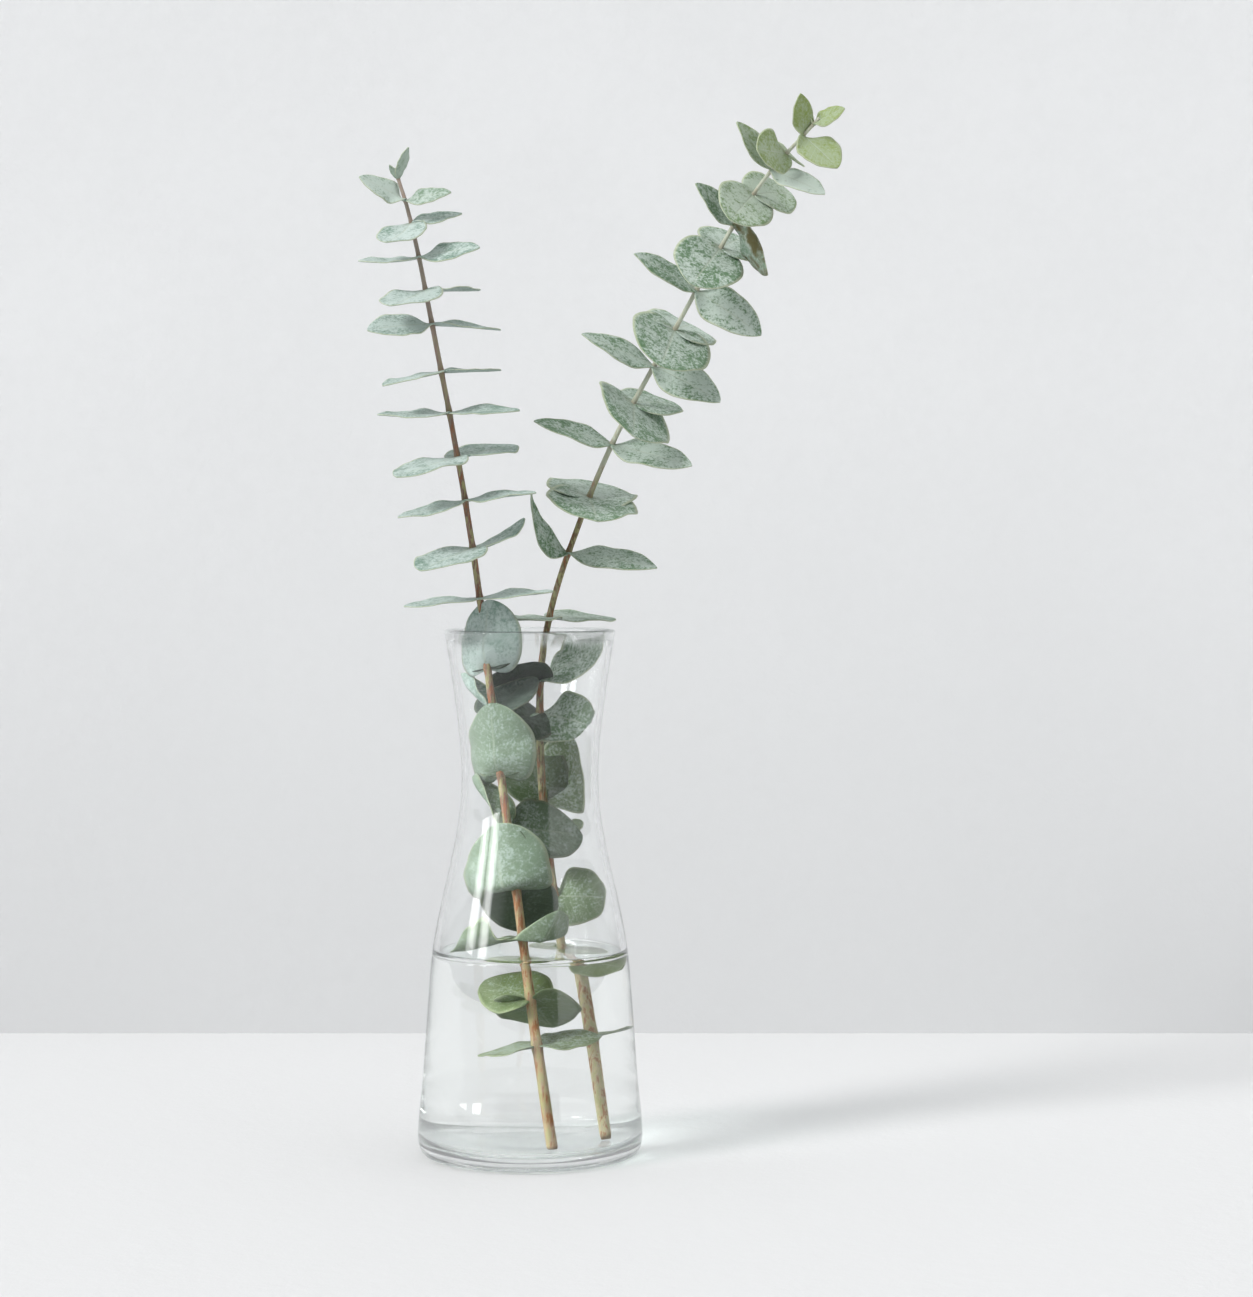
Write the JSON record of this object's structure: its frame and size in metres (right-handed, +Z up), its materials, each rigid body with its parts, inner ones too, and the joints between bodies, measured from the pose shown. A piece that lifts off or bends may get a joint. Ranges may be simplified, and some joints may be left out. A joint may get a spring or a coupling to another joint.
{
  "type": "eucalyptus branches in a glass vase",
  "caption": "Two leafy eucalyptus branches with round blue-green leaves standing in a waisted clear glass carafe vase part filled with water.",
  "frame": {"origin": "centre of the flat underside of the vase", "axes": "+Z up along the axis of the vase, -Y towards the front as pictured, the left stem leans to -X and the right stem to +X"},
  "size_m": [0.1617, 0.0787, 0.3583],
  "materials": {
    "glass": "clear polished",
    "water": "clear liquid",
    "leaf_left": "matt waxy bloom",
    "leaf_right": "matt waxy bloom"
  },
  "bodies": {
    "root": {"bottle": "glass", "water": "water", "branch_left": "leaf_left", "branch_right": "leaf_right"}
  },
  "joints": []
}
